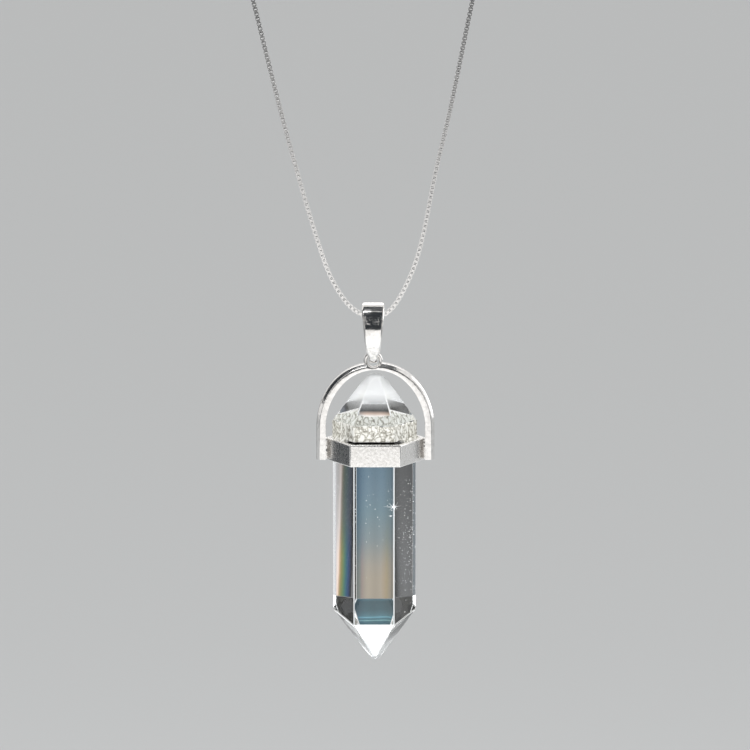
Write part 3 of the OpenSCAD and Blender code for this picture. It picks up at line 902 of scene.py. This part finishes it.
cut_with(front, bail, "INTERSECT")
round_edges(bail, bail_edge, 3, 35)
bail_plating = plating("bail_plating", 2300, 0.2 * MM, 0.06, 0.14, (0.82, 0.81, 0.79), (0.96, 0.95, 0.94))
# The casting shows most in a band near the bail's top, so the relief's strength goes by height.
nodes, links = bail_plating.node_tree.nodes, bail_plating.node_tree.links
height = nodes.new("ShaderNodeSeparateXYZ")
links.new(nodes["Texture Coordinate"].outputs["Object"], height.inputs["Vector"])
worn = shades(fade(height.outputs["Z"], bail_bottom_z, bail_top_z), (
    (0.1, 0.16), (0.2, 0.05), (0.64, 0.05), (0.69, 0.65), (0.79, 0.65), (0.84, 0.05)))
links.new(worn, nodes["Bump"].inputs["Strength"])
bail.data.materials.append(bail_plating)
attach(bail, "bail")
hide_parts("bail")

# Two jump rings of bent wire and a plain clasp close the chain behind the neck. The photo hides
# them, so they keep the solids' shapes, and take the bright plating of the arch.
for name in ("jump_ring_left", "jump_ring_right", "clasp"):
    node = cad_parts[name]
    node.data.materials.clear()
    node.data.materials.append(arch_plating)

# The box chain: square loops of fine flat wire, each turned a quarter against the next and
# passed through it, all plated. One pair of loops is made, repeated and laid along the route.
route_left = (
    (0, 0), (-1.25, 0.4), (-2.5, 1.25), (-3.7, 2.8), (-4.9, 5.1), (-6.1, 8.6), (-7.7, 14),
    (-10, 22.5), (-13.3, 36), (-18.5, 57), (-25, 83), (-31.5, 110), (-36.5, 131.5),
    (-39.3, 148.5), (-38, 164.5), (-33, 178.5), (-25, 188.8), (-16.2, 194.7), (-7.6, 197.2),
)
route_right = (
    (0, 0), (1.25, 0.4), (2.3, 1.35), (3.4, 3.2), (4.6, 6), (5.6, 9.8), (6.8, 16),
    (8.6, 24), (11, 36), (15.5, 57.5), (21, 83), (27, 112), (32, 133.5),
    (35.3, 149), (35.5, 164.5), (32, 178.2), (25, 188.4), (16.2, 194.5), (7.6, 197.2),
)
chain_w = 0.48 * MM
loop_pitch = 0.27 * MM
loop_len = 0.45 * MM
loop_bar = 0.09 * MM
loop_band = 0.3 * MM
loop_bevel = 0.07 * MM
route_steps = 8


def route_line(route):
    """The smooth line through the route's points, in metres, from the low point upwards."""
    mirror = (-route[1][0], route[1][1])
    beyond = (2 * route[-1][0] - route[-2][0], 2 * route[-1][1] - route[-2][1])
    points = [mirror, *route, beyond]
    line = []
    for before, start, end, after in zip(points, points[1:], points[2:], points[3:]):
        for step in range(route_steps):
            part = step / route_steps
            line.append([
                0.5 * (2 * two + (three - one) * part + (2 * one - 5 * two + 4 * three - four) * part * part
                       + (3 * two - one - 3 * three + four) * part * part * part)
                for one, two, three, four in zip(before, start, end, after)])
    line.append(route[-1])
    low_z = -route[-1][1]
    return [Vector((x * MM, 0, (low_z + z) * MM)) for x, z in line]


def square_loop(turned):
    """One loop of the chain, lying along X round a hole that runs along Y, or Z when turned."""
    bpy.ops.object.select_all(action="DESELECT")
    bpy.ops.mesh.primitive_cube_add(size=1, location=(loop_pitch / 2 + turned * loop_pitch, 0, 0))
    loop = bpy.context.object
    loop.scale = (loop_len, loop_band, chain_w)
    bpy.ops.object.transform_apply(location=True, rotation=True, scale=True)
    bpy.ops.object.mode_set(mode="EDIT")
    bpy.ops.mesh.select_mode(type="FACE")
    bpy.ops.mesh.select_all(action="DESELECT")
    bpy.ops.object.mode_set(mode="OBJECT")
    for face in loop.data.polygons:
        face.select = abs(face.normal.y) > 0.9
    bpy.ops.object.mode_set(mode="EDIT")
    bpy.ops.mesh.inset(thickness=loop_bar)
    bpy.ops.mesh.bridge_edge_loops()
    bpy.ops.mesh.select_mode(type="EDGE")
    bpy.ops.mesh.select_all(action="DESELECT")
    bpy.ops.object.mode_set(mode="OBJECT")
    for edge in loop.data.edges:
        start, end = (loop.data.vertices[corner].co for corner in edge.vertices)
        edge.select = abs(start.y - end.y) > loop_band / 2 and abs(start.z) > 0.45 * chain_w
    bpy.ops.object.mode_set(mode="EDIT")
    bpy.ops.mesh.bevel(offset=loop_bevel, segments=1)
    bpy.ops.object.mode_set(mode="OBJECT")
    if turned:
        loop.rotation_euler = (math.pi / 2, 0, 0)
        bpy.ops.object.transform_apply(location=True, rotation=True, scale=True)
    return loop


chain_plating = new_finish("chain_plating", {"Metallic": 1, "Roughness": 0.2})
nodes, links = chain_plating.node_tree.nodes, chain_plating.node_tree.links
place = nodes.new("ShaderNodeTexCoord").outputs["Object"]
tint = shades(noise_on(place, 1300).outputs["Fac"], ((0, (0.86, 0.86, 0.86)), (1, (1, 0.99, 0.98))))
links.new(tint, nodes["Principled BSDF"].inputs["Base Color"])
for name, node_name, route, quarter_turns in (
    ("links_left", "chain_left", route_left, 0),
    ("links_right", "chain_right", route_right, 1),
):
    line = route_line(route)
    run = sum((end - start).length for start, end in zip(line, line[1:]))
    pairs = round(run / (2 * loop_pitch))
    chain = joined(name, [square_loop(0), square_loop(1)])
    chain.rotation_euler = (quarter_turns * math.pi / 2, 0, 0)
    bpy.ops.object.transform_apply(location=True, rotation=True, scale=True)
    repeat = chain.modifiers.new("repeat", "ARRAY")
    repeat.use_relative_offset = False
    repeat.use_constant_offset = True
    repeat.constant_offset_displace = (run / pairs, 0, 0)
    repeat.count = pairs
    bpy.ops.object.modifier_apply(modifier="repeat")
    path = bpy.data.curves.new("path", "CURVE")
    path.dimensions = "3D"
    path.twist_mode = "MINIMUM"
    spline = path.splines.new("POLY")
    spline.points.add(len(line) - 1)
    for point, spot in zip(spline.points, line):
        point.co = (*spot, 1)
    guide = bpy.data.objects.new("guide", path)
    bpy.context.scene.collection.objects.link(guide)
    bpy.context.view_layer.update()
    lay = chain.modifiers.new("lay", "CURVE")
    lay.object = guide
    lay.deform_axis = "POS_X"
    bpy.ops.object.modifier_apply(modifier="lay")
    bpy.data.objects.remove(guide)
    bpy.ops.object.shade_smooth_by_angle(angle=math.radians(30))
    chain.data.materials.append(chain_plating)
    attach(chain, "chain")
    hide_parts(node_name)
